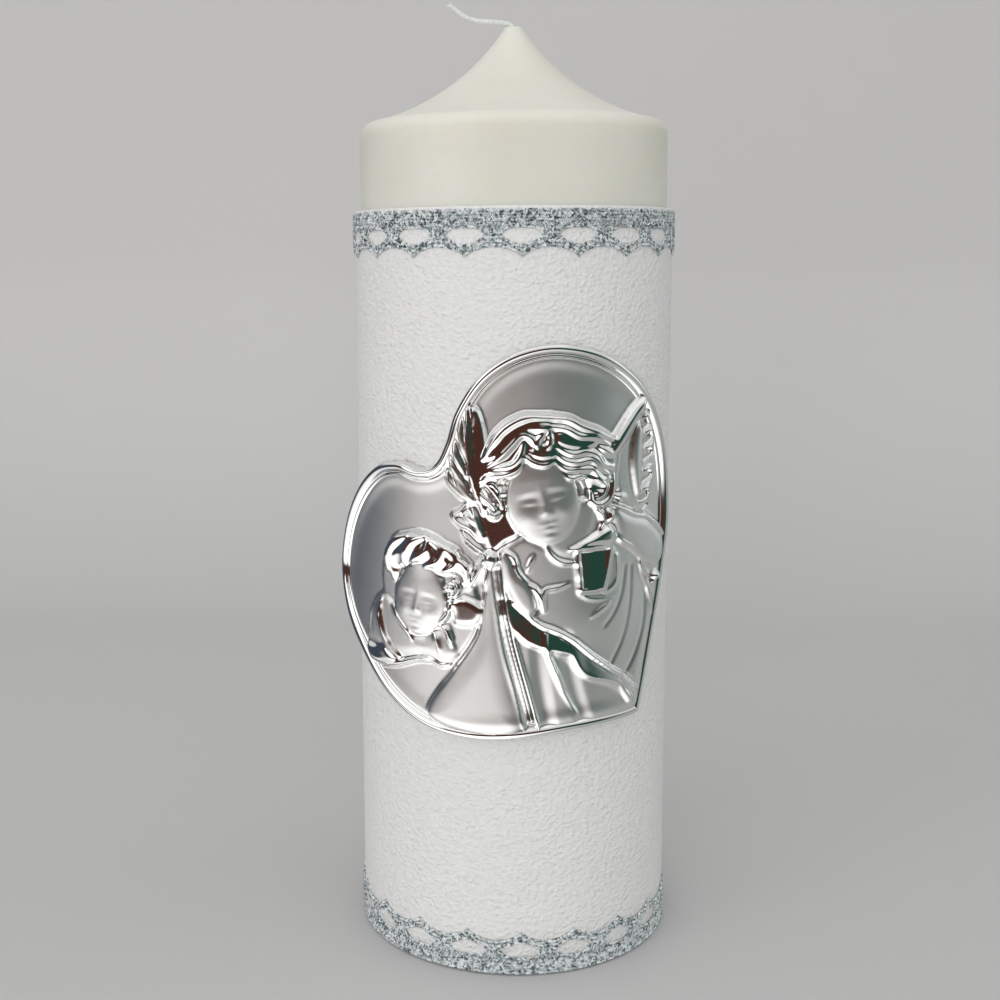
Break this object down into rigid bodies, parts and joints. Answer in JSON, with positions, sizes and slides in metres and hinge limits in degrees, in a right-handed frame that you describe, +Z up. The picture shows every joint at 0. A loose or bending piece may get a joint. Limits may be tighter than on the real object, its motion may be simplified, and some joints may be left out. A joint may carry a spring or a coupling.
{
  "type": "unity candle",
  "caption": "Ivory pillar candle with a hollow-coned top, a white leatherette sleeve, scalloped silver lace bands and an embossed heart-shaped silver plaque.",
  "frame": {"origin": "middle of the pillar's flat base, on the surface it stands on", "axes": "+Z up along the pillar, -Y towards the front, where the plaque is, +X to the right seen from the front"},
  "size_m": [0.0769, 0.0777, 0.2154],
  "materials": {
    "wax": "ivory paraffin wax, satin, slightly translucent",
    "wick_cotton": "white braided cotton, unwaxed",
    "tab_steel": "thin tinned steel pressing",
    "tape_film": "clear double-sided tape",
    "leatherette_white": "white leatherette with a fine pebble grain",
    "lace_silver": "silver metallic yarn lace with a glitter",
    "adhesive": "thin foam adhesive pad",
    "resin": "moulded white resin",
    "silver": "embossed silver sheet, polished rim and figures on a satin ground"
  },
  "bodies": {
    "root": {"wax_pillar": "wax", "wick": "wick_cotton", "wick_tab": "tab_steel", "tape_upper": "tape_film", "tape_lower": "tape_film", "leatherette_sleeve": "leatherette_white", "upper_lace": "lace_silver", "lower_lace": "lace_silver", "plaque_adhesive_pad": "adhesive", "plaque_resin_back": "resin", "plaque_silver_face": "silver"}
  },
  "joints": []
}
